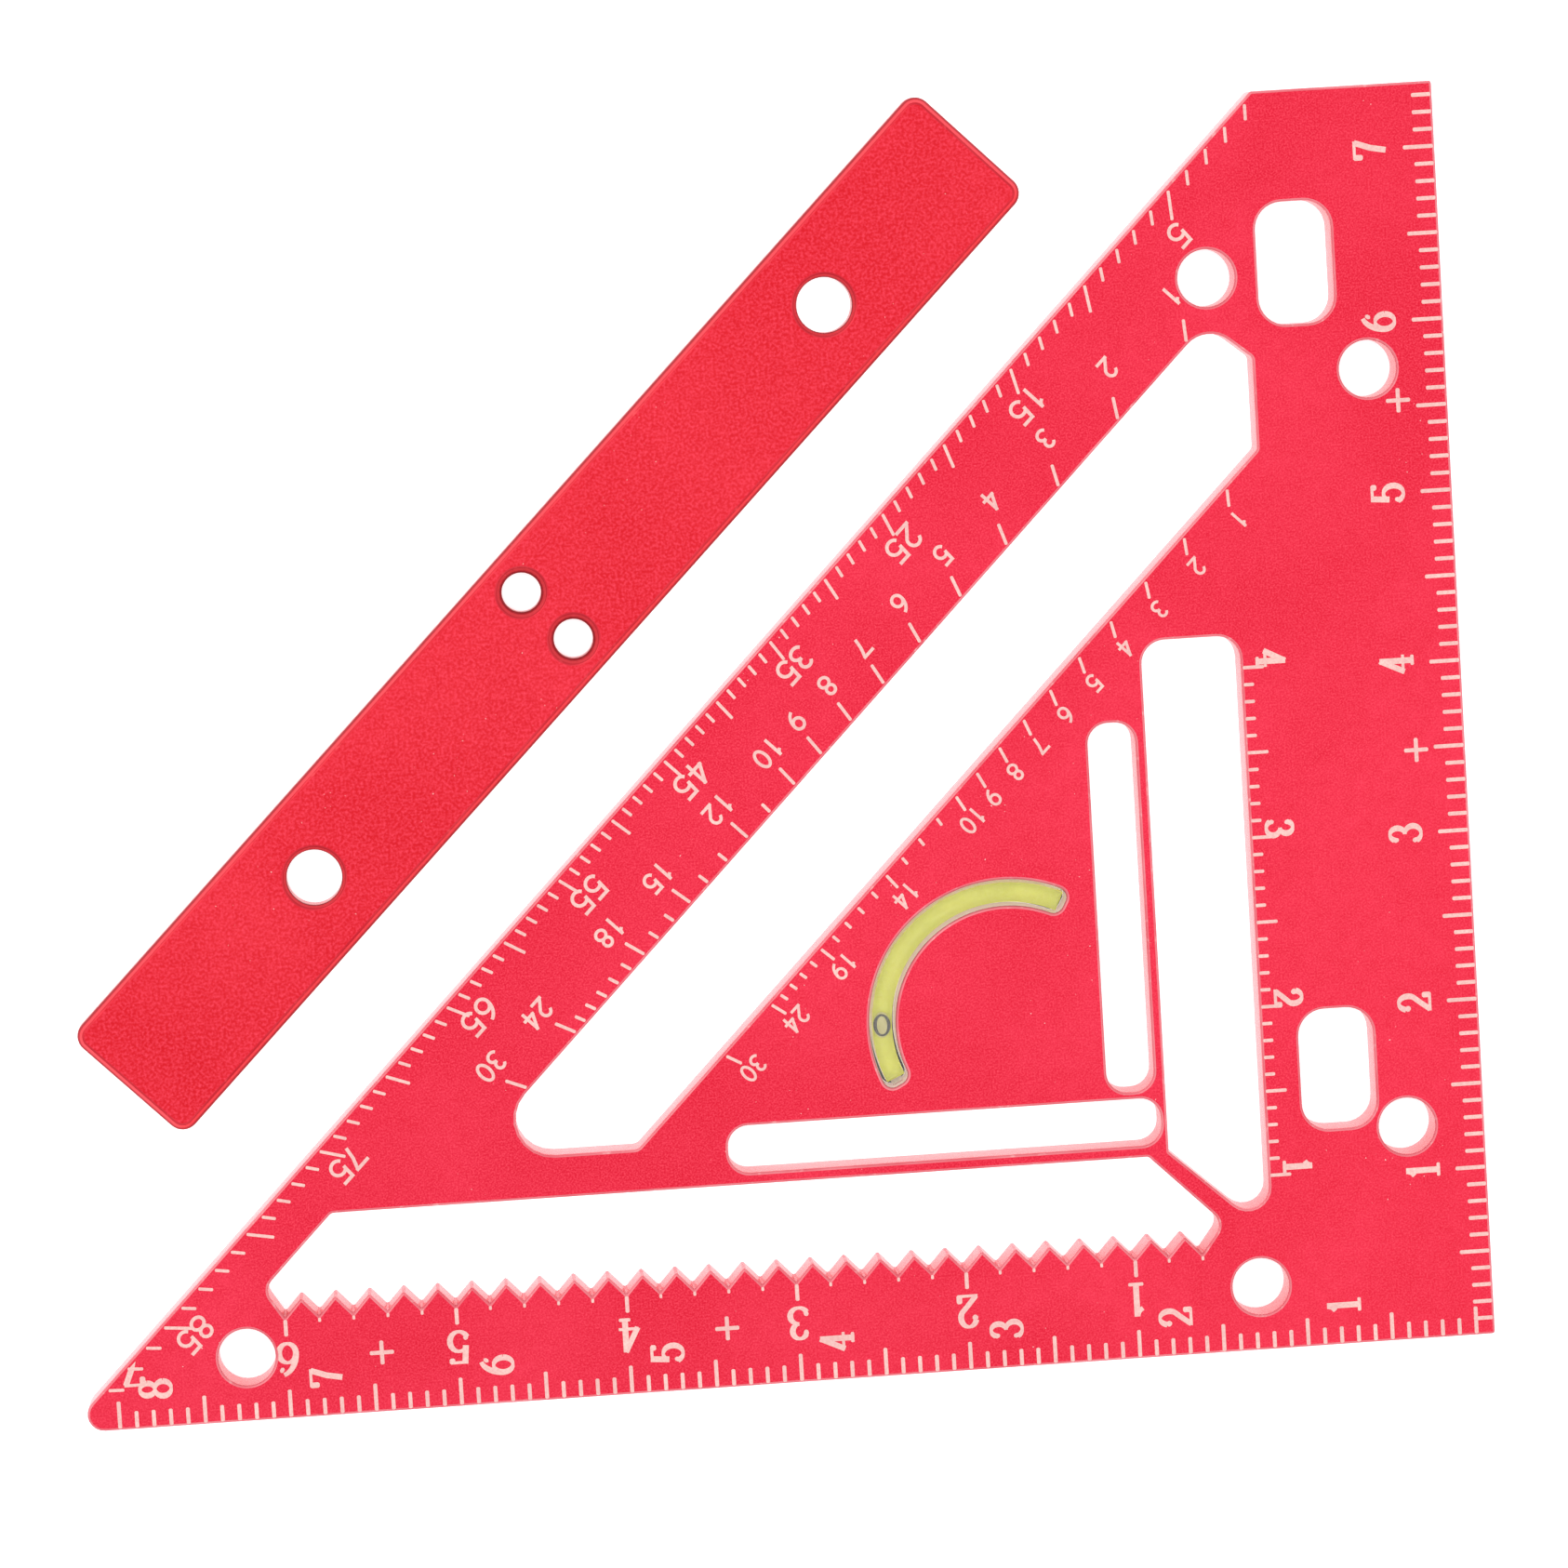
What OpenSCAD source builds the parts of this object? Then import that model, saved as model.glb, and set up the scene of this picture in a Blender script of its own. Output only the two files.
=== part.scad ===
// Speed square with a loose fence bar and a curved spirit vial let into the plate.
// Millimetres, +Z up, everything lying flat on the plane z = 0.
// The drawing datum is the plate's right-angled corner: x runs left (negative), y runs up.
// The finished model is shifted so that its origin is the centre of the footprint.

/* [Plate] */
// Thickness of the plate
plate_t = 7; // [5:0.05:8]
// Length of the long straight edge that carries the fence
heel_len = 187.4; // [186:0.1:189]
// Where the 45 degree edge would cross the foot edge, from the corner
hyp_reach = 214.3; // [213.5:0.1:216]
// Radius of the rounded toe
toe_r = 2.5; // [1:0.1:3]

/* [Holes in the plate] */
// Radius of every round hole in the plate
hole_r = 4.25; // [3:0.05:4.5]
// Distance of the two fence screw holes from the heel edge
fence_hole_inset = 11.65; // [10:0.05:12]
// Height of the lower fence screw hole above the foot edge
fence_hole_low = 32.3; // [31:0.1:33]
// Distance between the two fence screw holes
fence_hole_pitch = 113.3; // [112:0.1:114]
// Distance of the two heel web holes from the heel edge
web_hole_inset = 34.9; // [34:0.1:36]
// Height of the lower web hole and of the toe hole above the foot edge
web_hole_low = 9.6; // [8:0.1:10]
// Distance between the two heel web holes
web_hole_pitch = 150.8; // [150:0.1:152]
// Distance of the toe hole from the lower web hole
toe_hole_pitch = 151.7; // [150:0.1:153]

/* [Windows and slots] */
// Width of the two windows beside the heel edge
window_w = 11.2; // [9:0.1:12]
// Height of the two windows
window_h = 18.1; // [14:0.1:19]
// Corner radius of the windows
window_r = 4; // [2:0.1:5]
// Distance of the windows' centre line from the heel edge
window_inset = 21.65; // [21:0.05:22]
// Heights of the two window centres above the foot edge
window_low = 41.7; // [41:0.1:43]
window_high = 161.9; // [160:0.1:163]
// Width of the two narrow scribing slots
scribe_w = 7.1; // [5:0.1:7.2]
// Corner radius of the narrow scribing slots
scribe_r = 3.1; // [1:0.1:3.4]
// Width of the rail between the 45 degree edge and the diagonal slot
rail_w = 17.9; // [16:0.1:18.5]
// Width of the diagonal slot
diagonal_w = 18.1; // [15:0.1:18.4]
// Pitch of the scribing notches
notch_pitch = 5.08; // [5.08]
// Number of notch peaks
notch_count = 27; // [20:1:27]
// Height of the notch valleys above the foot edge
notch_valley = 15.1; // [14.5:0.1:16]
// Depth of the notches
notch_depth = 2.8; // [2:0.1:3.2]

/* [Fence bar] */
// Length of the fence bar
bar_len = 187.4; // [186:0.1:189]
// Width of the fence bar
bar_w = 22.4; // [21:0.1:23]
// Thickness of the fence bar
bar_t = 5; // [4:0.05:7]
// Corner radius of the fence bar
bar_r = 2.5; // [1.5:0.1:4]
// Bevel all round the fence bar's faces
bar_bevel = 0.9; // [0.3:0.1:1.1]
// Radius of the two large holes in the bar
bar_hole_r = 4.1; // [3.5:0.05:4.5]
// Radius of the two small holes in the bar
bar_small_r = 2.9; // [2:0.05:3.2]
// Distance between the two small holes, across the bar
bar_small_pitch = 10.3; // [9:0.1:11]
// Countersink depth of the large and the small holes
bar_hole_sink = 0.6; // [0.2:0.1:0.8]
bar_small_sink = 0.9; // [0.2:0.1:1]
// Angle at which the loose bar lies beside the plate
bar_angle = 44.7; // [44.7]
// Where the loose bar's centre lies, from the plate's corner
bar_x = -135.0; // [-136:0.1:-134.9]
bar_y = 116.7; // [116.6:0.1:118]

/* [Vial] */
// Centre of the vial's arc, from the plate's corner
vial_x = -70.2; // [-71:0.1:-70]
vial_y = 52.3; // [52:0.1:53]
// Radius of the vial's centre line
vial_arc_r = 19.05; // [18:0.05:19.5]
// Width of the vial
vial_w = 3.9; // [3.5:0.1:4.5]
// First and last angle of the vial's arc
vial_a0 = 67.5; // [65:0.5:70]
vial_a1 = 201; // [198:0.5:203]
// Glue gap between the vial and the plate
vial_gap = 0.05; // [0.05:0.01:0.1]
// Radius of the corners at the vial's two ends
vial_corner_r = 1.5; // [0.5:0.1:1.7]
// Width of the bubble's channel inside the vial
channel_w = 2.9; // [2.4:0.1:3]
// Thickness of the strip that closes the vial from below
strip_t = 1.0; // [0.8:0.1:1.2]
// How far the vial's faces lie below the plate's faces
vial_sink = 0.1; // [0:0.05:0.3]
// Clear plastic above the channel
roof_t = 1.1; // [0.8:0.1:1.4]
// Length of the bubble and its height
bubble_len = 3.9; // [3:0.1:5]
bubble_h = 1.5; // [1:0.1:1.8]
// Angle on the arc at which the bubble rests
bubble_a = 179; // [120:1:190]

/* [Hidden] */

red = [0.93, 0.10, 0.20];
clear = [0.86, 0.90, 0.88, 0.45];
lime = [0.80, 0.84, 0.38, 0.8];
pale = [0.93, 0.94, 0.80, 0.6];

eps = 0.5;                  // how far a cutter runs past a face
smooth = 96;                // facets of a full turn on true round features
arc_steps = 8;              // segments in one rounded corner of an outline
fine_steps = 3;             // segments in a corner of under a millimetre's radius
root2 = sqrt(2);

// Footprint of the whole model, from the plate's corner
toe_left = -hyp_reach + root2 * toe_r;
bar_half_x = (bar_len / 2 - bar_r) * cos(bar_angle) + (bar_w / 2 - bar_r) * sin(bar_angle) + bar_r;
bar_half_y = (bar_len / 2 - bar_r) * sin(bar_angle) + (bar_w / 2 - bar_r) * cos(bar_angle) + bar_r;
foot_left = min(toe_left, bar_x - bar_half_x);
foot_top = max(heel_len, bar_y + bar_half_y);
shift = [-foot_left / 2, -foot_top / 2, 0];

// Lines at 45 degrees are named by where they would cross the y axis
slot_upper = hyp_reach - rail_w * root2;
slot_lower = slot_upper - diagonal_w * root2;
slot_right = -28.7;
slot_floor = 36.7;
// The diagonal slot's short top edge falls to the right on this slope
crown_slope = -0.83;
crown_y = 148.3;
crown_x = (crown_y - slot_upper - crown_slope * slot_right) / (1 - crown_slope);

// Tall slot beside the narrow upright one
tall_left = -47.6;
tall_right = -32.9;
tall_top = 107.4;
strut_slope = -0.92;
tall_corner_y = 30.9;

// Upright and level scribing slots
upright_x = -52.75;
upright_low = 40.2;
upright_high = 95.6;
level_y = 35.6;
level_left = -113.3;
level_right = -48.5;

// Notched slot along the foot edge
notched_top = 30.3;
notched_left_top = -172.7;
notched_right_top = -50.7;
first_valley = -43.41;      // valley nearest to the heel
end_y = 19.6;               // height of the slot's two side corners

// Heights and angles inside the vial
vial_steps = 46;            // segments along each long side of the vial
vial_low = vial_sink;
vial_high = plate_t - vial_sink;
channel_low = vial_low + strip_t;
channel_high = vial_high - roof_t;
end_a = 3.6;                // degrees from the vial's first angle out to the channel's end
port_w = 1.8;               // width and height of the filling port in the lower end wall
port_low = 2.2;
plug_a = 3.0;               // degrees of arc taken by the plug
channel_a0 = vial_a0 - end_a;
channel_a1 = vial_a1 + 2.6;
bubble_side = channel_w / 2 - 0.15; // half width of the bubble
bubble_top = channel_high - 0.05;
run_gap = 0.08;             // slack round the bubble's run
run_end = 0.5;              // degrees of liquid beyond each end of the run
run_low = channel_high - bubble_h - run_gap;

// Unit vector from p to q
function unit(p, q) = (q - p) / norm(q - p);

// Points of the arc that rounds the corner b of the path a, b, c
function corner(a, b, c, r) =
    let (
        u = unit(b, a),
        v = unit(b, c),
        half = acos(u * v) / 2,
        centre = b + unit([0, 0], u + v) * r / sin(half),
        p = b + u * r / tan(half),
        q = b + v * r / tan(half),
        start = atan2(p.y - centre.y, p.x - centre.x),
        end = atan2(q.y - centre.y, q.x - centre.x),
        sweep = (end - start + 540) % 360 - 180,
        steps = r < 1 ? fine_steps : arc_steps
    )
    [for (i = [0 : steps]) centre + r * [
        cos(start + sweep * i / steps),
        sin(start + sweep * i / steps)
    ]];

// Outline through [x, y, corner radius] points, radius 0 leaving a sharp corner
function rounded(pts) =
    let (n = len(pts), at = function(i) [pts[(i + n) % n].x, pts[(i + n) % n].y])
    [for (i = [0 : n - 1])
        each (pts[i].z > 0 ? corner(at(i - 1), at(i), at(i + 1), pts[i].z) : [at(i)])];

// Upright cutter through the plate with the outline of the given points
module cut(pts) {
    translate([0, 0, -eps])
        linear_extrude(plate_t + 2 * eps)
            polygon(rounded(pts));
}

// Round hole through the plate
module drill(x, y) {
    translate([x, y, -eps])
        cylinder(h = plate_t + 2 * eps, r = hole_r, $fn = smooth);
}

// Rectangle with rounded corners, as outline points
function rect(x, y, w, h, r) = [
    [x - w / 2, y - h / 2, r],
    [x + w / 2, y - h / 2, r],
    [x + w / 2, y + h / 2, r],
    [x - w / 2, y + h / 2, r]
];

// Part of a ring about the vial's centre, between two radii, two heights and two angles
module ring(r0, r1, z0, z1, a0, a1) {
    translate([vial_x, vial_y, 0])
        rotate([0, 0, a0])
            rotate_extrude(angle = a1 - a0, $fn = smooth)
                translate([r0, z0])
                    square([r1 - r0, z1 - z0]);
}

// Point on the vial's arc: s along its centre line from the first end, t outwards from it
function on_arc(s, t) =
    let (a = vial_a0 + s * 180 / (PI * vial_arc_r))
    [vial_x + (vial_arc_r + t) * cos(a), vial_y + (vial_arc_r + t) * sin(a)];

// Outline of the vial, grown by g all round: a long rectangle with rounded corners, bent
function vial_outline(g) =
    let (
        len = vial_arc_r * (vial_a1 - vial_a0) * PI / 180 + vial_w,
        s0 = -vial_w / 2 - g,
        s1 = s0 + len + 2 * g,
        t = vial_w / 2 + g,
        r = vial_corner_r + g,
        side = [for (i = [1 : vial_steps - 1]) s0 + r + (s1 - s0 - 2 * r) * i / vial_steps],
        turn = [for (i = [0 : arc_steps]) 90 * i / arc_steps]
    )
    concat(
        [for (c = turn) on_arc(s1 - r + r * sin(c), t - r + r * cos(c))],
        [for (c = turn) on_arc(s1 - r + r * cos(c), r - t - r * sin(c))],
        [for (i = [vial_steps - 2 : -1 : 0]) on_arc(side[i], -t)],
        [for (c = turn) on_arc(s0 + r - r * sin(c), r - t - r * cos(c))],
        [for (c = turn) on_arc(s0 + r - r * cos(c), t - r + r * sin(c))],
        [for (i = [0 : vial_steps - 2]) on_arc(side[i], t)]
    );

// Upright prism of the vial's outline, grown by g
module vial_prism(g, z0, z1) {
    translate([0, 0, z0])
        linear_extrude(z1 - z0)
            polygon(vial_outline(g));
}

// Outline of the plate before any hole
outline = [
    [0, 0, 0.4],
    [0, heel_len, 0.4],
    [-(hyp_reach - heel_len), heel_len, 0.6],
    [-hyp_reach, 0, toe_r]
];

// Slot parallel to the 45 degree edge
diagonal_slot = [
    [slot_floor - slot_upper, slot_floor, 5.5],
    [slot_floor - slot_lower, slot_floor, 1.5],
    [slot_right, slot_right + slot_lower, 1],
    [slot_right, crown_y, 1],
    [crown_x, crown_x + slot_upper, 4.5]
];

// Tall slot whose inner edge is read against the heel scale
tall_slot = [
    [tall_left, tall_corner_y, 0.4],
    [tall_right, tall_corner_y + strut_slope * (tall_right - tall_left), 3.2],
    [tall_right, tall_top, 3.5],
    [tall_left, tall_top, 3.5]
];

// Slot along the foot edge, with a row of notches for a pencil point
notched_slot = concat(
    [
        [notched_right_top, notched_top, 0.6],
        [notched_left_top, notched_top, 1],
        [notched_left_top - (notched_top - end_y), end_y, 2.2]
    ],
    [for (i = [notch_count : -1 : 1]) each [
        [first_valley - i * notch_pitch, notch_valley, 0],
        [first_valley - (i - 0.5) * notch_pitch, notch_valley + notch_depth, 0]
    ]],
    [
        [first_valley, notch_valley, 0],
        [notched_right_top + (notched_top - end_y), end_y, 2.2]
    ]
);

module plate() {
    color(red)
    difference() {
        linear_extrude(plate_t)
            polygon(rounded(outline));
        for (y = [fence_hole_low, fence_hole_low + fence_hole_pitch])
            drill(-fence_hole_inset, y);
        for (y = [web_hole_low, web_hole_low + web_hole_pitch])
            drill(-web_hole_inset, y);
        drill(-web_hole_inset - toe_hole_pitch, web_hole_low);
        for (y = [window_low, window_high])
            cut(rect(-window_inset, y, window_w, window_h, window_r));
        cut(rect(upright_x, (upright_low + upright_high) / 2,
            scribe_w, upright_high - upright_low, scribe_r));
        cut(rect((level_left + level_right) / 2, level_y,
            level_right - level_left, scribe_w, scribe_r));
        cut(diagonal_slot);
        cut(tall_slot);
        cut(notched_slot);
        vial_prism(vial_gap, -eps, plate_t + eps);
    }
}

// Bored hole in the bar, countersunk on both faces
module bar_bore(r, sink) {
    translate([0, 0, -eps])
        cylinder(h = bar_t + 2 * eps, r = r, $fn = smooth);
    translate([0, 0, -eps])
        cylinder(h = sink + eps, r1 = r + sink + eps, r2 = r, $fn = smooth);
    translate([0, 0, bar_t - sink])
        cylinder(h = sink + eps, r1 = r, r2 = r + sink + eps, $fn = smooth);
}

// One layer of the bar's outline, drawn in by the given amount
module bar_layer(inset, z0, z1) {
    dx = bar_len / 2 - bar_r;
    dy = bar_w / 2 - bar_r;
    for (x = [-dx, dx], y = [-dy, dy])
        translate([x, y, z0])
            cylinder(h = z1 - z0, r = bar_r - inset, $fn = 32);
}

module fence_bar() {
    low_end = bar_len / 2 - fence_hole_low;
    color(red)
    translate([bar_x, bar_y, 0])
        rotate([0, 0, bar_angle])
            difference() {
                hull() {
                    bar_layer(bar_bevel, 0, bar_t);
                    bar_layer(0, bar_bevel, bar_t - bar_bevel);
                }
                for (x = [low_end, low_end - fence_hole_pitch])
                    translate([x, 0, 0])
                        bar_bore(bar_hole_r, bar_hole_sink);
                for (y = [-bar_small_pitch / 2, bar_small_pitch / 2])
                    translate([0, y, 0])
                        bar_bore(bar_small_r, bar_small_sink);
            }
}

// Clear block with a channel open to below, and a filling port through its lower end wall
module vial_body() {
    color(clear)
    difference() {
        vial_prism(0, channel_low, vial_high);
        ring(vial_arc_r - channel_w / 2, vial_arc_r + channel_w / 2,
            channel_low - eps, channel_high, channel_a0, channel_a1);
        ring(vial_arc_r - port_w / 2, vial_arc_r + port_w / 2,
            port_low, port_low + port_w, channel_a1 - 1, channel_a1 + 2 * plug_a);
    }
}

// Clear strip welded under the block, closing the channel
module vial_strip() {
    color(clear)
    vial_prism(0, vial_low, channel_low);
}

// Plug in the filling port
module vial_plug() {
    color(clear)
    ring(vial_arc_r - port_w / 2, vial_arc_r + port_w / 2,
        port_low, port_low + port_w, channel_a1, channel_a1 + plug_a);
}

// Liquid in the channel, with the bubble's run along its top left free
module vial_fluid() {
    color(lime)
    difference() {
        ring(vial_arc_r - channel_w / 2, vial_arc_r + channel_w / 2,
            channel_low, channel_high, channel_a0, channel_a1);
        ring(vial_arc_r - bubble_side - run_gap, vial_arc_r + bubble_side + run_gap,
            run_low, channel_high + eps, channel_a0 + run_end, channel_a1 - run_end);
    }
}

// Air bubble: an oval lens under the channel's roof
module bubble() {
    long = bubble_len / 2 / bubble_side;
    tall = bubble_h / 2 / bubble_side;
    color(pale)
    translate([vial_x, vial_y, 0])
        rotate([0, 0, bubble_a])
            translate([vial_arc_r, 0, bubble_top - bubble_h / 2])
                scale([1, long, tall])
                    sphere(r = bubble_side, $fn = 40);
}

translate(shift) plate();
translate(shift) fence_bar();
translate(shift) vial_body();
translate(shift) vial_strip();
translate(shift) vial_plug();
translate(shift) vial_fluid();
translate(shift) bubble();
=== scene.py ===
import math

import bpy
from mathutils import Euler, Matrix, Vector
from mathutils.geometry import delaunay_2d_cdt


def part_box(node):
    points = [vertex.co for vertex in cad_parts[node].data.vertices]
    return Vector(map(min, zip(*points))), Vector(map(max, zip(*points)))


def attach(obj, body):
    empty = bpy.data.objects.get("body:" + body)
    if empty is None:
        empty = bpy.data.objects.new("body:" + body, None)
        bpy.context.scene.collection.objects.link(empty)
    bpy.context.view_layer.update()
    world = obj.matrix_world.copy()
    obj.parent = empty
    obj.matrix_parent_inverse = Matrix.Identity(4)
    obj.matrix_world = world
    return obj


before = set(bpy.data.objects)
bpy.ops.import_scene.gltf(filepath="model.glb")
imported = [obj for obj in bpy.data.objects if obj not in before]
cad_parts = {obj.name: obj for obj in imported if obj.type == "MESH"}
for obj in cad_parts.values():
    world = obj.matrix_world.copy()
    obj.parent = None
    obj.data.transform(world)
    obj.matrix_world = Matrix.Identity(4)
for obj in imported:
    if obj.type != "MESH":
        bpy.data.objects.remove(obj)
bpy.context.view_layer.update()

# ---------------------------------------------------------------------------------------------
# Shared measures. Drawing lengths are millimetres on the plate: origin at its right-angled
# corner, x negative along the foot, y up the heel. Everything handed to Blender is metres.
# ---------------------------------------------------------------------------------------------
MM = 0.001
INCH = 25.4
PLATE_LOW, PLATE_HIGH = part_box("plate")
TOP_Z = PLATE_HIGH.z
BAR_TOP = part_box("fence_bar")[1].z

MARK_WIDTH = 0.58           # engraved line
MARK_PROUD = 0.02 * MM      # how far the marks stand over the plate
MARK_DEPTH = 0.10 * MM      # how far they reach down into it
EDGE_INSET = 0.41           # marks stop this far from an edge, just short of its break
TENTH = INCH / 10
SCALE_EDGE = 213.9          # y - x along a line just inside the 45 degree edge
RISES = list(range(1, 25)) + [30]   # inches of rise on both rafter scales

# Where the tops of figures point, and the way along the 45 degree edge
TURNED_LEFT = Vector((-1, 0))
TURNED_RIGHT = Vector((1, 0))
UPSIDE_DOWN = Vector((0, -1))
TO_CORNER = Vector((1, -1)).normalized()
ALONG_EDGE = Vector((1, 1)).normalized()


def place(x, y, z):
    """A drawing point as a point of the shared frame, at height z in metres."""
    return Vector((PLATE_HIGH.x + x * MM, PLATE_LOW.y + y * MM, z))


def colour(red, green, blue):
    """A screen colour of 0-255 parts as the linear colour that the shader wants."""
    parts = [c / 255 for c in (red, green, blue)]
    return tuple(c / 12.92 if c <= 0.04045 else ((c + 0.055) / 1.055) ** 2.4 for c in parts) + (1.0,)


# ---------------------------------------------------------------------------------------------
# Camera, light and floor
# ---------------------------------------------------------------------------------------------
WORLD_LIGHT = 0.92          # strength of the white surroundings
FLOOR_GLOW = 0.68           # emission of the floor's paper
FLOOR_DROP = 0.02 * MM      # how far the floor lies under the tool


def make_camera():
    """A long lens nearly over the tool, at the photograph's viewing angle."""
    data = bpy.data.cameras.new("camera")
    data.sensor_width = 36
    data.lens = 150
    data.clip_start = 0.05
    data.clip_end = 20
    camera = bpy.data.objects.new("camera", data)
    camera.location = (-0.0456, 0.0844, 0.9687)
    camera.rotation_euler = Euler([math.radians(a) for a in (-5.12, -3.25, -3.477)])
    bpy.context.scene.collection.objects.link(camera)
    bpy.context.scene.camera = camera


def make_world():
    """Even white surroundings."""
    world = bpy.data.worlds.new("studio")
    world.use_nodes = True
    background = world.node_tree.nodes["Background"]
    background.inputs["Color"].default_value = (1.0, 1.0, 1.0, 1.0)
    background.inputs["Strength"].default_value = WORLD_LIGHT
    bpy.context.scene.world = world
    bpy.context.scene.view_settings.view_transform = "Standard"


def make_softbox(name, location, size, power):
    """A square area light aimed at the middle of the object."""
    data = bpy.data.lights.new(name, "AREA")
    data.size = size
    data.energy = power
    light = bpy.data.objects.new(name, data)
    light.location = location
    light.rotation_euler = (-Vector(location)).to_track_quat("-Z", "Y").to_euler()
    bpy.context.scene.collection.objects.link(light)


def make_floor():
    """A round sheet of paper, four metres in radius."""
    reach, rings, spokes = 4.0, 6, 48
    points = [(0.0, 0.0, 0.0)]
    for ring in range(1, rings + 1):
        radius = reach * (ring / rings) ** 2
        for spoke in range(spokes):
            angle = math.tau * spoke / spokes
            points.append((radius * math.cos(angle), radius * math.sin(angle), 0.0))
    faces = [(0, 1 + s, 1 + (s + 1) % spokes) for s in range(spokes)]
    for ring in range(rings - 1):
        start = 1 + ring * spokes
        for s in range(spokes):
            after = (s + 1) % spokes
            faces.append((start + s, start + spokes + s, start + spokes + after, start + after))
    mesh = bpy.data.meshes.new("floor")
    mesh.from_pydata(points, [], faces)
    floor = bpy.data.objects.new("floor", mesh)
    floor.location.z = -FLOOR_DROP
    bpy.context.scene.collection.objects.link(floor)
    mesh.materials.append(floor_paper())


# ---------------------------------------------------------------------------------------------
# Materials
# ---------------------------------------------------------------------------------------------
RED_DEEP, RED_BRIGHT = colour(210, 18, 46), colour(230, 50, 77)
BAR_DEEP, BAR_BRIGHT = colour(204, 16, 32), colour(224, 48, 62)
PITTED = colour(242, 76, 98)
BARE_METAL = colour(236, 190, 188)
# Sloping faces, and the dark colour at their foot, which is painted shade.
SLOPE, SHADED_SLOPE_FOOT = colour(238, 84, 92), colour(154, 52, 56)
# Cut walls at the top and at the foot: paler than the faces and palest at the foot, painted light from
# the white floor.
PLATE_WALL_FLOOR_LIT = colour(234, 70, 88), colour(240, 138, 142)
BAR_WALL_FLOOR_LIT = colour(192, 24, 40), colour(212, 58, 70)
PLATE_EDGE = colour(216, 84, 98), colour(228, 132, 140)
# The bar's broken edges: handling wear, and darker than the bar's faces as painted shade for the dark
# line round the bar.
BAR_EDGE_WORN_AND_SHADED = colour(190, 26, 42), colour(210, 54, 66)
# Painted light: emission strength of the acrylic's sawn sides.
PAINTED_EDGE_GLOW = 0.30          # glow of the acrylic's sawn sides


class Paint:
    """A Principled material with short calls for the texture nodes that feed it."""

    def __init__(self, name):
        self.material = bpy.data.materials.new(name)
        self.material.use_nodes = True
        self.tree = self.material.node_tree
        self.shader = self.tree.nodes["Principled BSDF"]
        self.coordinates = self.tree.nodes.new("ShaderNodeTexCoord")
        self.where = self.coordinates.outputs["Object"]

    def set(self, **values):
        """Sets constants on the shader: Metallic=0.8, Emission_Color=(...) and so on."""
        for key, value in values.items():
            self.shader.inputs[key.replace("_", " ")].default_value = value

    def node(self, kind, **inputs):
        """A new node, its inputs set to constants or linked to sockets."""
        made = self.tree.nodes.new(kind)
        for key, value in inputs.items():
            self.feed(made.inputs[key], value)
        return made

    def feed(self, socket, value):
        """Links a socket to the input, or sets a constant on it."""
        if isinstance(value, bpy.types.NodeSocket):
            self.tree.links.new(value, socket)
        else:
            socket.default_value = value

    def noise(self, size, detail=2.0, distortion=0.0):
        """Noise whose lumps are about `size` millimetres across."""
        made = self.node("ShaderNodeTexNoise", Vector=self.where, Scale=1 / (size * MM),
                         Detail=detail, Distortion=distortion)
        return made.outputs["Fac"]

    def spread(self, value, low, high, start=0.3, end=0.7):
        """The value's range start..end stretched to low..high."""
        made = self.tree.nodes.new("ShaderNodeMapRange")
        for key, number in (("Value", value), ("From Min", start), ("From Max", end),
                            ("To Min", low), ("To Max", high)):
            self.feed(made.inputs[key], number)
        return made.outputs["Result"]

    def mix(self, share, first, second):
        """The colour that lies the given share of the way from first to second."""
        made = self.tree.nodes.new("ShaderNodeMix")
        made.data_type = "RGBA"
        self.feed(made.inputs["Factor"], share)
        self.feed([s for s in made.inputs if s.name == "A" and s.type == "RGBA"][0], first)
        self.feed([s for s in made.inputs if s.name == "B" and s.type == "RGBA"][0], second)
        return [s for s in made.outputs if s.type == "RGBA"][0]

    def multiply(self, first, second):
        made = self.tree.nodes.new("ShaderNodeMath")
        made.operation = "MULTIPLY"
        self.feed(made.inputs[0], first)
        self.feed(made.inputs[1], second)
        return made.outputs[0]

    def height(self):
        """The height over the floor in metres."""
        return self.node("ShaderNodeSeparateXYZ", Vector=self.where).outputs["Z"]

    def levelness(self):
        """0 on an upright face, rising to 1 on a level one."""
        facing = self.node("ShaderNodeSeparateXYZ", Vector=self.coordinates.outputs["Normal"])
        return self.multiply(facing.outputs["Z"], facing.outputs["Z"])

    def wall(self):
        """The share of upright face, 0 to 1."""
        return self.spread(self.levelness(), 1.0, 0.0, 0.02, 0.25)

    def slope(self):
        """The share of sloping face, 0 to 1."""
        level = self.levelness()
        not_upright = self.spread(level, 0.0, 1.0, 0.2, 0.4)
        not_level = self.spread(level, 1.0, 0.0, 0.7, 0.95)
        return self.multiply(not_upright, not_level)

    def bump(self, height, depth, strength=1.0, under=None):
        """A relief `depth` millimetres deep, laid over the bump `under` if there is one."""
        made = self.node("ShaderNodeBump", Height=height, Distance=depth * MM, Strength=strength)
        if under is not None:
            self.feed(made.inputs["Normal"], under)
        return made.outputs["Normal"]


def floor_paper():
    """White paper on a light table: it glows a little, so no shadow greys it."""
    paint = Paint("floor_paper")
    fibre = paint.noise(3.0, 4.0)
    paint.feed(paint.shader.inputs["Base Color"],
               paint.mix(fibre, colour(250, 250, 250), colour(255, 255, 255)))
    paint.feed(paint.shader.inputs["Roughness"], paint.spread(fibre, 0.85, 0.95))
    paint.feed(paint.shader.inputs["Normal"], paint.bump(fibre, 0.02, 0.2))
    paint.set(Specular_IOR_Level=0.0, Emission_Color=(1.0, 1.0, 1.0, 1.0), Emission_Strength=FLOOR_GLOW)
    return paint.material


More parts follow.
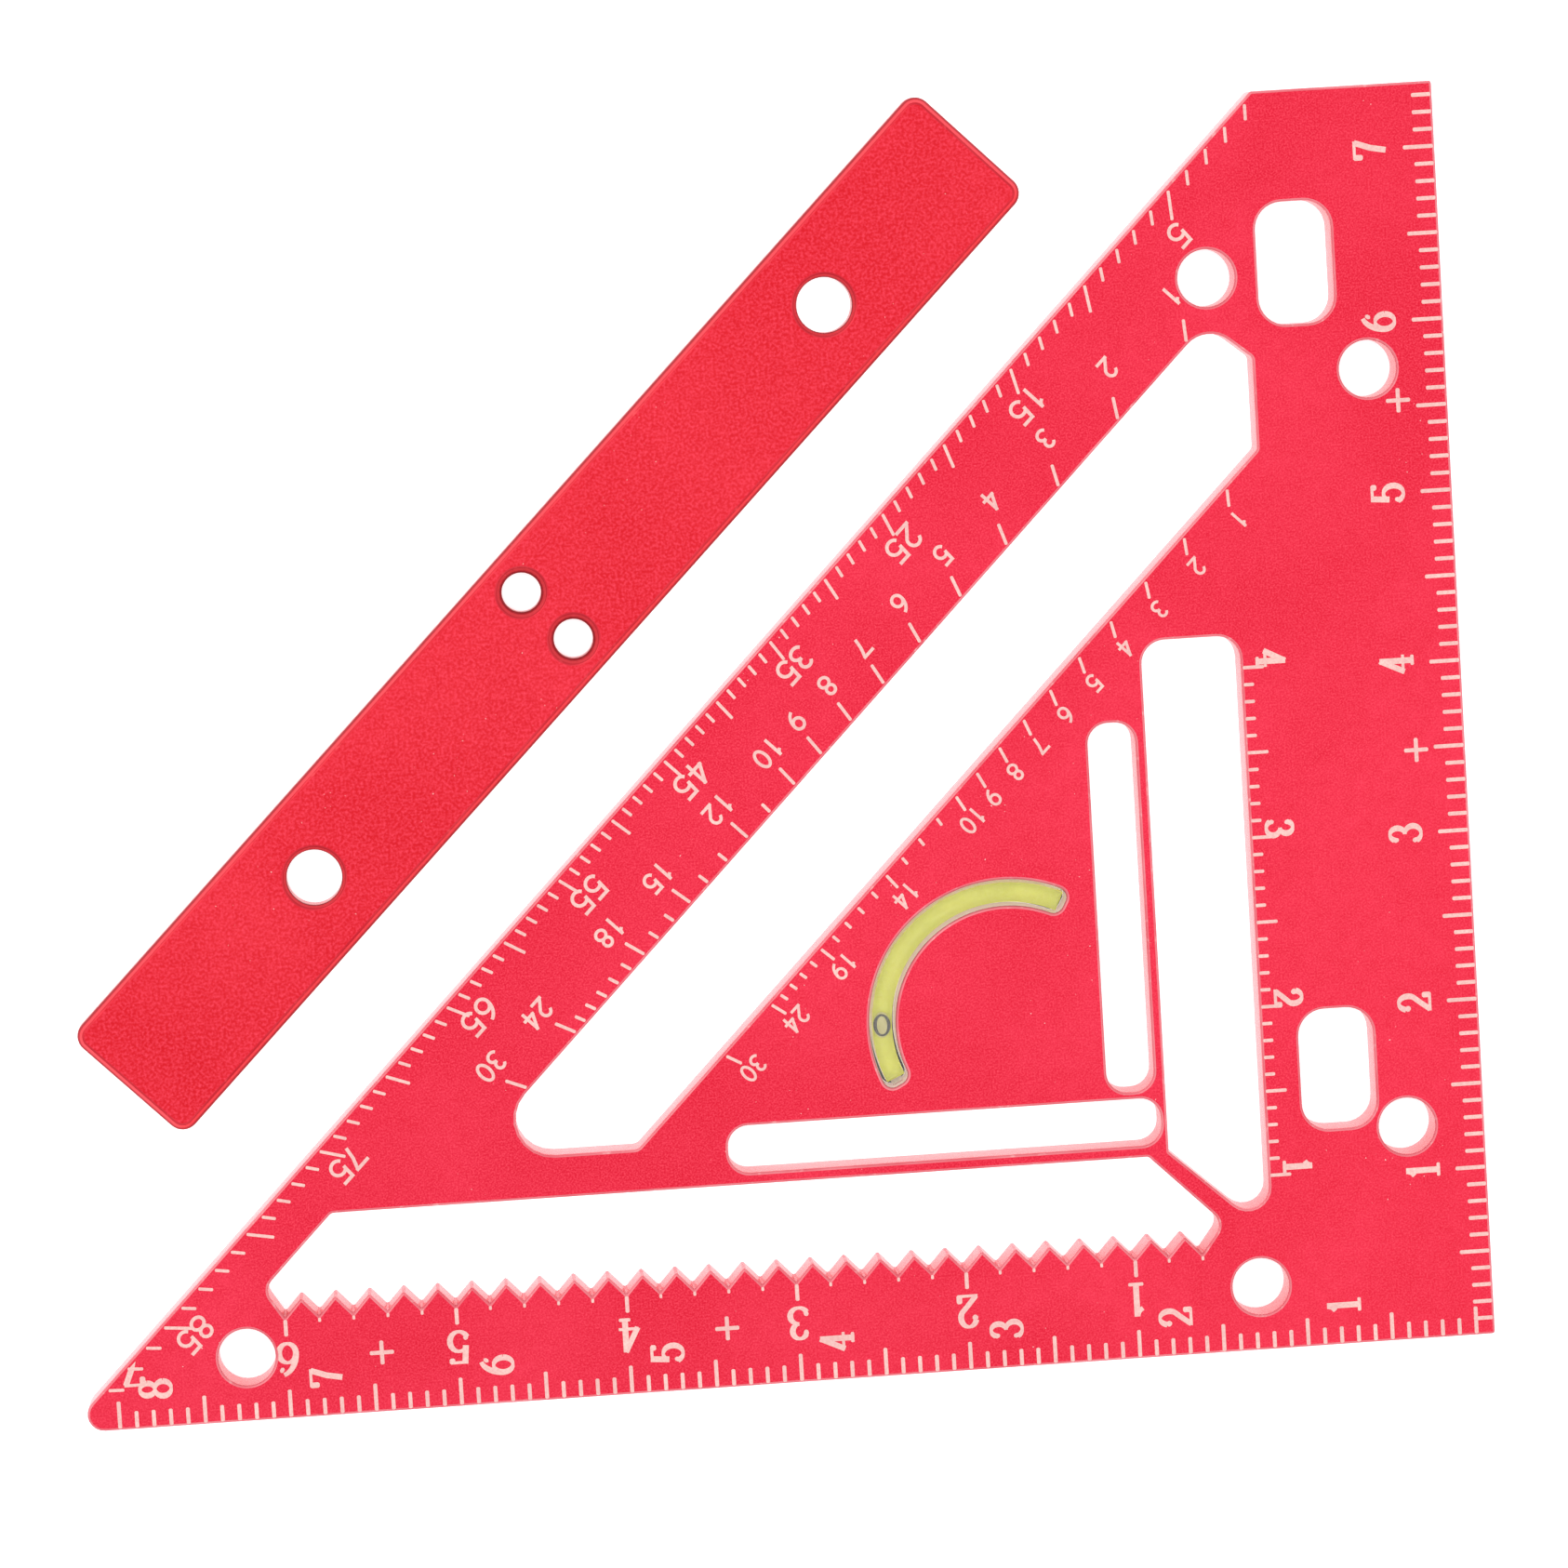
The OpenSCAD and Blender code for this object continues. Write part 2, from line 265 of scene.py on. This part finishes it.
def anodised(name, deep, bright, wall_top_lit, wall_foot_lit, grain, grain_depth, pitting):
    """Bead-blasted, colour-anodised aluminium.

    Soft cloudy zones and fine mottling run from `deep` to `bright`. `grain` is the size of the
    blasted pits in millimetres and `pitting` the strength of their paler colour. The cut walls
    are smoother and paler than the faces, and they pale further towards the bottom face: a painted
    glow of light from the white floor. Sloping faces are pale, with a dark foot of painted shade
    at the height of the bar's bevel.
    """
    paint = Paint(name)
    zones = paint.noise(34.0, 2.0, 0.6)
    mottle = paint.noise(2.4, 3.0)
    pits = paint.noise(grain, 2.0)
    specks = paint.noise(0.5, 1.0)
    clusters = paint.noise(17.0, 2.0)

    base = paint.mix(paint.spread(zones, 0.2, 0.8, 0.32, 0.68), deep, bright)
    base = paint.mix(paint.spread(mottle, 0.0, 0.45), base, deep)
    base = paint.mix(paint.spread(pits, 0.0, pitting, 0.40, 0.78), base, PITTED)
    bare = paint.multiply(paint.spread(specks, 0.0, 1.0, 0.77, 0.80),
                          paint.spread(clusters, 0.0, 1.0, 0.52, 0.60))
    base = paint.mix(bare, base, BARE_METAL)

    wall, slope, height = paint.wall(), paint.slope(), paint.height()
    # Painted shade: the slope darkens towards its foot, under the bar's top.
    low = paint.spread(height, 1.0, 0.0, BAR_TOP - 0.6 * MM, BAR_TOP - 0.45 * MM)
    slope_colour_with_shade = paint.mix(low, SLOPE, SHADED_SLOPE_FOOT)
    base = paint.mix(paint.spread(slope, 0.0, 0.7, 0.0, 1.0), base, slope_colour_with_shade)
    milled = paint.noise(1.1, 2.0)
    # Painted light: the walls pale towards the bottom face, as if lit by the white floor.
    lit_wall_colour = paint.mix(paint.spread(height, 1.0, 0.0, 0.0, TOP_Z), wall_top_lit, wall_foot_lit)
    lit_wall_colour = paint.mix(paint.spread(milled, 0.0, 0.4), lit_wall_colour, deep)
    base = paint.mix(wall, base, lit_wall_colour)

    paint.feed(paint.shader.inputs["Base Color"], base)
    rough = paint.spread(pits, 0.38, 0.56)
    paint.feed(paint.shader.inputs["Roughness"], paint.spread(wall, rough, 0.26, 0.0, 1.0))
    relief = paint.bump(mottle, 0.012, 0.35)
    paint.feed(paint.shader.inputs["Normal"], paint.bump(pits, grain_depth, 0.7, relief))
    paint.feed(paint.shader.inputs["Metallic"], paint.spread(wall, 0.85, 0.35, 0.0, 1.0))
    paint.set(IOR=1.5)
    return paint.material


def worn_edge(name, fresh, rubbed, nicked, metallic, shaded_under=0.0):
    """The broken edge of the anodised metal, where handling has thinned the colour.

    Edges lower than the given height, in metres, are dark: painted shade along the foot of the bar.
    """
    paint = Paint(name)
    runs = paint.noise(9.0, 3.0)
    nicks = paint.noise(1.3, 2.0)
    base = paint.mix(paint.spread(runs, 0.1, 0.9), fresh, rubbed)
    base = paint.mix(paint.spread(nicks, 0.0, 0.7, 0.62, 0.80), base, nicked)
    # Painted shade: low edges take the dark foot colour.
    if shaded_under:
        low = paint.spread(paint.height(), 1.0, 0.0, shaded_under - 0.1 * MM, shaded_under)
        base = paint.mix(low, base, SHADED_SLOPE_FOOT)
    paint.feed(paint.shader.inputs["Base Color"], base)
    paint.feed(paint.shader.inputs["Roughness"], paint.spread(nicks, 0.32, 0.50))
    paint.feed(paint.shader.inputs["Normal"], paint.bump(nicks, 0.02, 0.5))
    paint.set(Metallic=metallic)
    return paint.material


def etched_mark():
    """Marks cut through the anodising by laser: a pale, chalky, slightly pink metal."""
    paint = Paint("etched_mark")
    cloud = paint.noise(6.0, 2.0)
    frost = paint.noise(0.30, 3.0)
    base = paint.mix(paint.spread(cloud, 0.0, 1.0), colour(228, 186, 180), colour(238, 204, 195))
    base = paint.mix(paint.spread(frost, 0.0, 0.55), base, colour(224, 156, 156))
    paint.feed(paint.shader.inputs["Base Color"], base)
    paint.feed(paint.shader.inputs["Roughness"], paint.spread(frost, 0.50, 0.75))
    paint.feed(paint.shader.inputs["Normal"], paint.bump(frost, 0.015, 0.6))
    paint.set(Metallic=0.25)
    return paint.material


def clear_acrylic(name, tint, clear, roughness):
    """Moulded acrylic: faint flow ripples and haze on the faces, frosted where it was sawn.

    The sawn sides glow softly: a painted glow that stands in for the light the clear part
    pipes to them.
    """
    paint = Paint(name)
    ripple = paint.noise(3.5, 2.0, 0.8)
    haze = paint.noise(0.6, 2.0)
    sawn = paint.wall()
    face = paint.mix(paint.spread(haze, 0.0, 1.0), tint, colour(255, 255, 252))
    frost = paint.mix(paint.spread(haze, 0.0, 1.0), colour(206, 184, 172), colour(222, 204, 192))
    smooth = paint.spread(haze, roughness, roughness + 0.05)
    paint.feed(paint.shader.inputs["Base Color"], paint.mix(sawn, face, frost))
    paint.feed(paint.shader.inputs["Roughness"], paint.spread(sawn, smooth, 0.5, 0.0, 1.0))
    paint.feed(paint.shader.inputs["Transmission Weight"], paint.spread(sawn, clear, 0.2, 0.0, 1.0))
    # Painted light: the sawn sides glow by emission.
    paint.feed(paint.shader.inputs["Emission Strength"], paint.spread(sawn, 0.0, PAINTED_EDGE_GLOW, 0.0, 1.0))
    paint.feed(paint.shader.inputs["Normal"], paint.bump(ripple, 0.02, 0.25))
    paint.set(IOR=1.16, Emission_Color=colour(236, 214, 210))
    return paint.material


def lime_fluid():
    """Dyed vial spirit, given a little painted glow so it keeps one even lime colour."""
    paint = Paint("lime_spirit_look")
    cloud = paint.noise(5.0, 2.0)
    fine = paint.noise(0.35, 2.0)
    base = paint.mix(paint.spread(cloud, 0.0, 1.0), colour(190, 194, 34), colour(206, 206, 60))
    base = paint.mix(paint.spread(fine, 0.0, 0.45), base, colour(220, 218, 120))
    paint.feed(paint.shader.inputs["Base Color"], base)
    paint.feed(paint.shader.inputs["Roughness"], paint.spread(fine, 0.12, 0.24))
    paint.feed(paint.shader.inputs["Normal"], paint.bump(fine, 0.01, 0.3))
    paint.set(IOR=1.36, Transmission_Weight=0.1)
    # Painted light: the spirit glows a little by emission, though it is no lamp.
    paint.set(Emission_Color=colour(196, 200, 40), Emission_Strength=0.3)
    return paint.material


def trapped_air():
    """The bubble: a pale lens inside the fluid, with a little painted glow."""
    paint = Paint("trapped_air")
    fine = paint.noise(0.9, 2.0)
    paint.feed(paint.shader.inputs["Base Color"],
               paint.mix(paint.spread(fine, 0.0, 1.0), colour(190, 184, 120), colour(214, 208, 160)))
    paint.feed(paint.shader.inputs["Roughness"], paint.spread(fine, 0.04, 0.12))
    paint.set(IOR=1.1, Transmission_Weight=0.2)
    # Painted light: the bubble glows a little by emission.
    paint.set(Emission_Color=colour(200, 196, 120), Emission_Strength=0.15)
    return paint.material


def bubble_edge():
    """Painted shade: the dark line where the bubble's steep side bends the light away."""
    paint = Paint("bubble_edge")
    fine = paint.noise(0.4, 2.0)
    paint.feed(paint.shader.inputs["Base Color"],
               paint.mix(paint.spread(fine, 0.0, 1.0), colour(14, 13, 6), colour(36, 34, 18)))
    paint.feed(paint.shader.inputs["Roughness"], paint.spread(fine, 0.2, 0.4))
    return paint.material


# ---------------------------------------------------------------------------------------------
# CAD nodes: a small edge break by modifiers, and their materials
# ---------------------------------------------------------------------------------------------
def finish_node(name, materials, edge_break=0.0):
    """Welds the imported facets, breaks the sharp edges and gives the node its materials.

    The first material is the node's own and a second one is for its broken edges.
    `edge_break` is their width in millimetres; with none, the edges stay sharp.
    """
    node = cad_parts[name]
    mesh = node.data
    mesh.materials.clear()
    for material in materials:
        mesh.materials.append(material)
    for face in mesh.polygons:
        face.use_smooth = True
    custom = mesh.attributes.get("custom_normal")
    if custom is not None:
        mesh.attributes.remove(custom)
    weld = node.modifiers.new("weld", "WELD")
    weld.merge_threshold = 0.0005 * MM
    if edge_break > 0:
        flatten = node.modifiers.new("flatten", "DECIMATE")
        flatten.decimate_type = "DISSOLVE"
        flatten.angle_limit = math.radians(0.8)
        bevel = node.modifiers.new("edge_break", "BEVEL")
        bevel.limit_method = "ANGLE"
        bevel.angle_limit = math.radians(32)
        bevel.width = edge_break * MM
        bevel.segments = 2
        bevel.use_clamp_overlap = False
        bevel.loop_slide = False
        bevel.miter_outer = "MITER_SHARP"
        bevel.harden_normals = True
        if len(materials) > 1:
            bevel.material = 1


# ---------------------------------------------------------------------------------------------
# Marks: each outline is a closed list of drawing points
# ---------------------------------------------------------------------------------------------
def tick(start, end, width=MARK_WIDTH):
    """A straight engraved line with softly rounded ends."""
    start, end = Vector(start), Vector(end)
    along = (end - start).normalized()
    across = Vector((-along.y, along.x)) * width / 2
    cap = along * width / 4
    return [start + across, start - cap + across / 2, start - cap - across / 2, start - across,
            end - across, end + cap - across / 2, end + cap + across / 2, end + across]


def arc(centre, radii, start, end, steps=14):
    """Points on an elliptical arc, angles in degrees."""
    turn = [math.radians(start + (end - start) * i / steps) for i in range(steps + 1)]
    return [(centre[0] + radii[0] * math.cos(a), centre[1] + radii[1] * math.sin(a)) for a in turn]


def digit_strokes(digit):
    """Centre lines of a digit in a box one wide and one high, bottom left at the origin."""
    oval = arc((0.5, 0.5), (0.5, 0.5), 0, 360, 24)
    six_bowl = arc((0.5, 0.31), (0.5, 0.31), 0, 360, 20)
    six_stem = arc((1.02, 0.31), (1.02, 0.72), 104, 180, 10)
    shapes = {
        "0": [oval],
        "1": [[(0.55, 0.0), (0.55, 1.0)], [(0.55, 1.0), (0.42, 0.86), (0.2, 0.78)]],
        "2": [arc((0.5, 0.70), (0.46, 0.30), 165, -35, 14) + [(0.45, 0.28), (0.0, 0.0)],
              [(0.0, 0.0), (1.0, 0.0)]],
        "3": [arc((0.48, 0.76), (0.42, 0.24), 155, -90, 14),
              arc((0.48, 0.26), (0.52, 0.26), 90, -155, 16)],
        "4": [[(0.7, 0.0), (0.7, 1.0)], [(0.7, 1.0), (0.0, 0.3)], [(0.0, 0.3), (1.0, 0.3)]],
        "5": [[(0.92, 1.0), (0.16, 1.0)], [(0.16, 1.0), (0.08, 0.5)],
              arc((0.46, 0.32), (0.54, 0.32), 138, -155, 16)],
        "6": [six_bowl, six_stem],
        "7": [[(0.0, 1.0), (1.0, 1.0)], [(1.0, 1.0), (0.62, 0.5), (0.42, 0.0)]],
        "8": [arc((0.5, 0.76), (0.42, 0.24), 0, 360, 18), arc((0.5, 0.26), (0.5, 0.26), 0, 360, 20)],
        "9": [[(1 - x, 1 - y) for x, y in stroke] for stroke in (six_bowl, six_stem)],
    }
    return shapes[digit]


def serif_bars(digit):
    """The slab feet, flags and ball ends of the bold figures: (start, end) pairs in the same box."""
    bars = {
        "1": [((0.15, 0.0), (0.95, 0.0))],
        "2": [((1.0, 0.0), (1.0, 0.2)), ((0.06, 0.68), (0.16, 0.74))],
        "3": [((0.04, 0.80), (0.14, 0.82)), ((0.0, 0.18), (0.1, 0.2))],
        "4": [((0.42, 0.0), (1.0, 0.0))],
        "5": [((0.0, 0.2), (0.1, 0.18)), ((0.92, 1.0), (0.92, 0.9))],
        "6": [((0.84, 0.86), (0.9, 0.84))],
        "7": [((0.0, 1.0), (0.0, 0.78))],
    }
    return bars.get(digit, [])


def ribbon(points, thick, thin):
    """A stroke as four-sided links; it swells to `thick` where it runs upright."""
    points = [Vector(p) for p in points]
    sides = []
    for i, point in enumerate(points):
        before, after = points[max(i - 1, 0)], points[min(i + 1, len(points) - 1)]
        along = (after - before).normalized()
        half = (thin + (thick - thin) * abs(along.y)) / 2
        across = Vector((-along.y, along.x)) * half
        sides.append((point + across, point - across))
    return [[a, b, d, c] for (a, b), (c, d) in zip(sides, sides[1:])]


def figure(digit, centre, up, height, width, thick, thin, serif):
    """Outlines of one digit, centred on a drawing point, its top towards `up`."""
    right = Vector((up.y, -up.x))
    centre = Vector(centre)

    def put(point):
        u = (point[0] - 0.5) * (width - thick)
        v = (point[1] - 0.5) * (height - thin)
        return Vector((u, v))

    links = []
    for stroke in digit_strokes(digit):
        path = [put(p) for p in stroke]
        if len(path) == 2:
            reach = (path[1] - path[0]).normalized() * thin / 2
            path = [path[0] - reach, path[1] + reach]
        links += ribbon(path, thick, thin)
    if serif:
        for start, end in serif_bars(digit):
            slab = abs(end[0] - start[0]) > 0.3
            links.append(tick(put(start), put(end), thin * 1.15 if slab else thick * 0.95))
    return [[centre + right * p.x + up * p.y for p in link] for link in links]


def label(text, centre, up, height, width, thick, thin=None, serif=False, gap=0.35):
    """A number of one or two digits."""
    thin = thick if thin is None else thin
    right = Vector((up.y, -up.x))
    pitch = width + gap
    outlines = []
    for i, digit in enumerate(text):
        middle = Vector(centre) + right * pitch * (i - (len(text) - 1) / 2)
        outlines += figure(digit, middle, up, height, width, thick, thin, serif)
    return outlines


def cross(centre, size=3.3, width=0.6):
    """A plus sign."""
    x, y = centre
    level = tick((x - size / 2, y), (x + size / 2, y), width)
    upright = tick((x, y - size / 2), (x, y + size / 2), width)
    return [level, upright]


def disc(centre, radius, steps=40):
    """A round outline."""
    return [(centre[0] + radius * math.cos(math.tau * i / steps),
             centre[1] + radius * math.sin(math.tau * i / steps)) for i in range(steps)]


def make_marks(name, outlines, cuts=(), lift=0.0):
    """One closed piece from the union of the outlines, less the cuts, set into the plate's top.

    `lift` raises it by so many millimetres more, where it crosses another scale.
    """
    proud = MARK_PROUD + lift * MM
    loops = list(outlines) + list(cuts)
    points, faces = [], []
    for loop in loops:
        faces.append(list(range(len(points), len(points) + len(loop))))
        points += [Vector(p[:2]) for p in loop]
    inside_only, tolerance = 1, 1e-5
    found, _, triangles, _, _, sources = delaunay_2d_cdt(points, [], faces, inside_only, tolerance)
    kept = [t for t, s in zip(triangles, sources) if s and max(s) < len(outlines)]
    edges = {(t[i], t[(i + 1) % len(t)]) for t in kept for i in range(len(t))}
    used = sorted({i for t in kept for i in t})
    number = {old: new for new, old in enumerate(used)}
    count = len(used)
    vertices = [place(found[i].x, found[i].y, TOP_Z + proud) for i in used]
    vertices += [place(found[i].x, found[i].y, TOP_Z - MARK_DEPTH + lift * MM) for i in used]
    shell = [[number[i] for i in t] for t in kept]
    shell += [[number[i] + count for i in reversed(t)] for t in kept]
    for a, b in sorted(edges):
        if (b, a) not in edges:
            shell.append([number[b], number[a], number[a] + count, number[b] + count])
    mesh = bpy.data.meshes.new(name)
    mesh.from_pydata(vertices, [], shell)
    mesh.update()
    mesh.materials.append(ETCHED)
    piece = bpy.data.objects.new(name, mesh)
    bpy.context.scene.collection.objects.link(piece)
    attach(piece, "square")


# Height and width of the serif figures of the inch scales, and their strokes
BOLD_SIZE = (5.1, 3.1)
BOLD = dict(thick=0.88, thin=0.44, serif=True)


def heel_scale():
    """Tenths of an inch up the heel edge, from the corner."""
    divisions, long_tick, short_tick = 73, 4.6, 3.0
    figure_row, plus_row, plus_heights = -9.65, -7.4, (140.65, 88.6)
    outlines = []
    for k in range(1, divisions + 1):
        y = TENTH * k
        length = long_tick if k % 5 == 0 else short_tick
        outlines.append(tick((-EDGE_INSET, y), (-length, y)))
    for n in range(1, 8):
        outlines += label(str(n), (figure_row, INCH * n), TURNED_LEFT, *BOLD_SIZE, **BOLD)
    for y in plus_heights:
        outlines += cross((plus_row, y))
    make_marks("heel_scale", outlines)


def foot_scale():
    """Tenths of an inch along the foot edge. The first line stands a little off the corner."""
    divisions, long_tick, short_tick = 80, 4.2, 2.6
    first_line = 0.111          # inches from the corner
    figure_row, beside_line = 5.85, 5.6
    outlines = []
    for k in range(divisions + 1):
        x = -(first_line * INCH + TENTH * k)
        length = long_tick if k % 5 == 0 else short_tick
        outlines.append(tick((x, EDGE_INSET), (x, length)))
    for n in range(1, 9):
        x = -(first_line + n) * INCH + beside_line
        outlines += label(str(n), (x, figure_row), TURNED_LEFT, *BOLD_SIZE, **BOLD)
    make_marks("foot_scale", outlines, lift=0.006)


def notch_scale():
    """A line at each scribing notch, longer at the inches. The figures stand upside down.

    The toe's hole and the 45 degree edge cut two of the figures.
    """
    notches, first_notch, pitch, root = 28, -43.41, INCH / 5, 15.1
    zero, figure_row, figure_size, last_figure, last_x = -28.17, 8.95, (5.1, 3.4), 7, -203.5
    plus_places, hole_place, hole_radius = (-166.6, -115.1), (-186.6, 9.6), 4.25
    inch_line, notch_line = (12.5, MARK_WIDTH), (14.3, 0.42)
    outlines = []
    for j in range(notches):
        x = first_notch - pitch * j
        end, width = inch_line if j % 5 == 2 else notch_line
        outlines.append(tick((x, root - EDGE_INSET), (x, end), width))
    for n in range(1, last_figure + 1):
        x = zero - INCH * n if n < last_figure else last_x
        outlines += label(str(n), (x, figure_row), UPSIDE_DOWN, *figure_size, **BOLD)
    for x in plus_places:
        outlines += cross((x, figure_row))
    toe_hole = disc(hole_place, hole_radius + EDGE_INSET)
    right, left, top = -190.0, -260.0, 40.0
    line = SCALE_EDGE - 0.6     # y - x where the marks stop
    past_edge = [(right, line + right), (right, top), (left, top), (left, line + left)]
    make_marks("notch_scale", outlines, [toe_hole, past_edge], lift=0.012)


def inner_heel_scale():
    """Tenths of an inch beside the tall slot, one to four inches up."""
    slot_edge, long_end, short_end, offset = -32.9, -29.6, -31.2, 0.9
    figure_column, figure_offset = -28.45, 2.1
    outlines = []
    for k in range(10, 41):
        y = TENTH * k + offset
        end = long_end if k % 5 == 0 else short_end
        outlines.append(tick((slot_edge + EDGE_INSET, y), (end, y), 0.5))
    for n in range(1, 5):
        centre = (figure_column, INCH * n + figure_offset)
        outlines += label(str(n), centre, TURNED_RIGHT,
                          height=4.4, width=3.0, thick=0.9, thin=0.45, serif=True)
    make_marks("inner_heel_scale", outlines)


def ray_point(pivot, angle, edge, past):
    """The point `past` millimetres beyond where a ray from the pivot meets the line y - x = edge."""
    away = Vector((-math.sin(angle), math.cos(angle)))
    reach = (edge - (pivot[1] - pivot[0])) / (math.cos(angle) + math.sin(angle))
    return Vector(pivot) + away * (reach + past)


def beside_edge(pivot, angle, edge, depth, slide):
    """A label's place: on the ray, `depth` square to the edge towards the corner, then along it."""
    return ray_point(pivot, angle, edge - depth * math.sqrt(2), 0) + ALONG_EDGE * slide


def degree_scale():
    """Degrees along the 45 degree edge, measured at the pivot corner."""
    pivot = (-24.64, -0.30)
    long_tick, short_tick, width = 3.6, 1.95, 0.46
    outlines = []
    for degree in range(1, 89):
        angle = math.radians(degree)
        lean = math.cos(angle - math.radians(45))
        depth = long_tick if degree % 5 == 0 else short_tick
        outlines.append(tick(ray_point(pivot, angle, SCALE_EDGE, -EDGE_INSET / lean),
                             ray_point(pivot, angle, SCALE_EDGE, -depth / lean), width))
    for degree in range(5, 90, 10):
        depth = 5.9 - 0.018 * (degree - 5)
        slide = 0.9 - 0.006 * degree if degree < 70 else -1.2
        centre = beside_edge(pivot, math.radians(degree), SCALE_EDGE, depth, slide)
        outlines += label(str(degree), centre, TO_CORNER, height=3.9, width=2.6, thick=0.52)
    make_marks("degree_scale", outlines, lift=0.018)


def rafter_angle(rise, run):
    """The pitch of a rafter that rises so many inches over the given run."""
    return math.atan(rise / run)


def rafter_ticks(pivot, edge, run, long_ones, start, long_end, short_end, width):
    """A line for each rise, from `start` to its end past the slot's edge, negative inwards."""
    outlines = []
    for rise in RISES:
        angle = rafter_angle(rise, run)
        end = long_end if rise in long_ones else short_end
        outlines.append(tick(ray_point(pivot, angle, edge, start),
                             ray_point(pivot, angle, edge, end), width))
    return outlines


def common_rafter_scale():
    """Rise in twelve, outside the diagonal slot."""
    pivot, edge, run, figure_depth = (-25.8, 0.37), 189.3, 12, -6.35
    long_ones = list(range(1, 11)) + [12, 15, 18, 24, 30]
    outlines = rafter_ticks(pivot, edge, run, long_ones, EDGE_INSET, 3.5, 1.9, width=0.48)
    for rise in long_ones:
        slide = {1: -1.6, 30: 1.5}.get(rise, 0.3)
        centre = beside_edge(pivot, rafter_angle(rise, run), edge, figure_depth, slide)
        outlines += label(str(rise), centre, TO_CORNER, height=3.3, width=2.1, thick=0.48)
    make_marks("common_rafter_scale", outlines, lift=0.024)


def hip_rafter_scale():
    """Rise over a hip's longer run, inside the diagonal slot."""
    pivot, edge, run, figure_depth = (-25.96, 0.69), 162.9, 12 * math.sqrt(2), 4.5
    long_ones = list(range(1, 11)) + [14, 19, 24, 30]
    outlines = rafter_ticks(pivot, edge, run, long_ones, -EDGE_INSET, -2.75, -1.5, width=0.45)
    for rise in long_ones:
        slide = max(1.9 - 0.19 * rise, 0.1)
        centre = beside_edge(pivot, rafter_angle(rise, run), edge, figure_depth, slide)
        outlines += label(str(rise), centre, TO_CORNER,
                          height=2.9, width=1.8, thick=0.42, gap=0.3)
    make_marks("hip_rafter_scale", outlines)


# ---------------------------------------------------------------------------------------------
# Bubble outline: a dark ring of painted shade
# ---------------------------------------------------------------------------------------------
def make_bubble_rim():
    """A closed oval wire round the bubble's shoulder, thickest at its sides: painted shade for its dark
    outline, where its steep side bends the light away.
    """
    low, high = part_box("bubble")
    middle = (low + high) / 2
    across = (high.x - low.x) / 2
    along = (high.y - low.y) / 2
    wire, turns, sides = 0.30 * MM, 48, 10
    inset, rise = 0.77, 0.42 * MM   # share of the bubble's half size, height over its middle
    lean = math.radians(1.0)        # a small turn about the upright axis
    points, faces = [], []
    for i in range(turns):
        turn = math.tau * i / turns
        outward = Vector((math.cos(turn), math.sin(turn), 0))
        spot = Vector((across * inset * outward.x, along * inset * outward.y, rise))
        for j in range(sides):
            roll = math.tau * j / sides
            swell = 0.6 + 0.4 * outward.x ** 2
            p = spot + (outward * math.cos(roll) + Vector((0, 0, 1)) * math.sin(roll)) * wire * swell
            x = p.x * math.cos(lean) - p.y * math.sin(lean)
            y = p.x * math.sin(lean) + p.y * math.cos(lean)
            points.append(middle + Vector((x, y, p.z)))
    for i in range(turns):
        for j in range(sides):
            a, b = i * sides + j, i * sides + (j + 1) % sides
            c, d = (i + 1) % turns * sides + (j + 1) % sides, (i + 1) % turns * sides + j
            faces.append((a, d, c, b))
    mesh = bpy.data.meshes.new("bubble_shade_ring")
    mesh.from_pydata(points, [], faces)
    mesh.materials.append(bubble_edge())
    for face in mesh.polygons:
        face.use_smooth = True
    rim = bpy.data.objects.new("bubble_shade_ring", mesh)
    bpy.context.scene.collection.objects.link(rim)
    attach(rim, "bubble")


# ---------------------------------------------------------------------------------------------
# Build
# ---------------------------------------------------------------------------------------------
make_camera()
make_world()
make_softbox("key", location=(-0.9, 0.7, 1.8), size=1.6, power=14)
make_softbox("fill", location=(1.1, -0.5, 1.7), size=1.4, power=6)
make_floor()

finish_node("plate", [
    anodised("plate_anodised", RED_DEEP, RED_BRIGHT, *PLATE_WALL_FLOOR_LIT,
             grain=0.26, grain_depth=0.012, pitting=0.85),
    worn_edge("plate_edge", *PLATE_EDGE, BARE_METAL, metallic=0.2),
], edge_break=0.38)
finish_node("fence_bar", [
    anodised("bar_anodised", BAR_DEEP, BAR_BRIGHT, *BAR_WALL_FLOOR_LIT,
             grain=0.42, grain_depth=0.022, pitting=0.7),
    # Bar edges: wear, darkened by painted shade, and painted shade below the bevel.
    worn_edge("bar_edge", *BAR_EDGE_WORN_AND_SHADED, SLOPE, metallic=0.8, shaded_under=BAR_TOP - 0.4 * MM),
], edge_break=0.20)
finish_node("vial_body", [
    clear_acrylic("vial_acrylic", colour(250, 246, 244), clear=0.93, roughness=0.04),
], edge_break=0.08)
finish_node("vial_strip", [
    clear_acrylic("strip_acrylic", colour(250, 250, 244), clear=0.88, roughness=0.10),
], edge_break=0.10)
finish_node("vial_plug", [
    clear_acrylic("plug_acrylic", colour(226, 226, 214), clear=0.5, roughness=0.16),
], edge_break=0.08)
finish_node("vial_fluid", [lime_fluid()])
finish_node("bubble", [trapped_air()])
make_bubble_rim()

ETCHED = etched_mark()
heel_scale()
foot_scale()
notch_scale()
inner_heel_scale()
degree_scale()
common_rafter_scale()
hip_rafter_scale()
